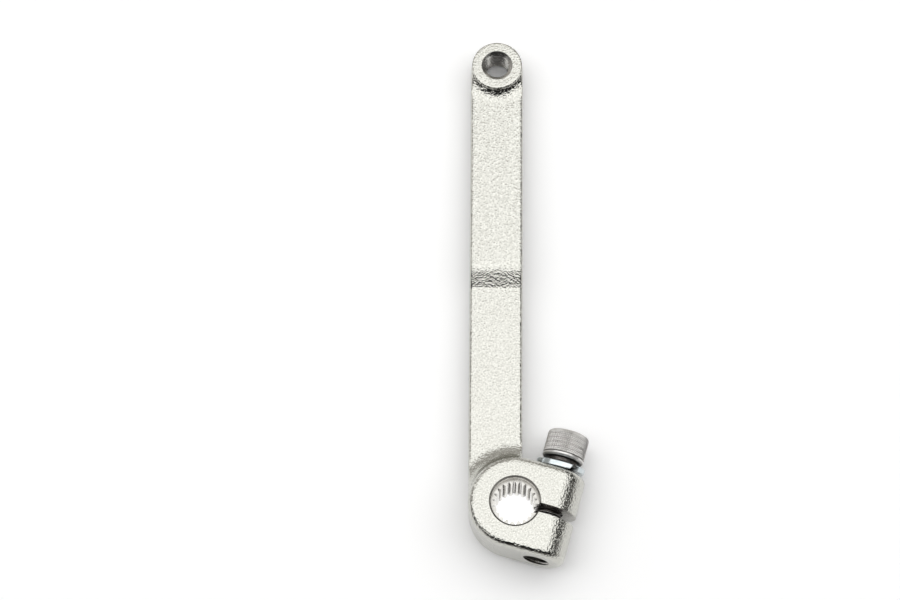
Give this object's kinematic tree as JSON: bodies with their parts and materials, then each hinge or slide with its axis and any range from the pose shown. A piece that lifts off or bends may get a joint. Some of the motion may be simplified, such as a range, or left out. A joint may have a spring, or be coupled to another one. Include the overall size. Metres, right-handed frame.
{
  "type": "clutch release lever",
  "caption": "Plated cast lever arm with a split serrated clamp hub, a clamp screw with spring washer, and a threaded boss at its free end.",
  "frame": {"origin": "on the serrated bore's axis in the plane of the hub's back face", "axes": "+Z along the bore from the hub's back to its counterbored front, +Y from the bore towards the threaded boss, +X towards the clamp screw's side"},
  "size_m": [0.0342, 0.1569, 0.016],
  "materials": {
    "plated_casting": "satin bright plating over a grained casting",
    "zinc_screw": "dull zinc plating, knurled head",
    "bright_zinc": "bright zinc plating with a bluish cast"
  },
  "bodies": {
    "lever": {"lever_arm": "plated_casting"},
    "washer": {"lock_washer": "bright_zinc"},
    "screw": {"clamp_screw": "zinc_screw"}
  },
  "joints": [
    {"name": "clamp_screw_travel", "type": "slide", "parent": "lever", "child": "washer", "axis": [0.2588, 0.9659, 0], "range_m": [0, 0.00635]},
    {"name": "clamp_screw_turn", "type": "hinge", "parent": "washer", "child": "screw", "pos_m": [0.00908, -0.00243, 0.008], "axis": [0.2588, 0.9659, 0], "range_deg": [0, 2160]}
  ],
  "couplings": [
    {"joint": "clamp_screw_travel", "follows": "clamp_screw_turn", "m_per_rad": 0.00016844}
  ]
}
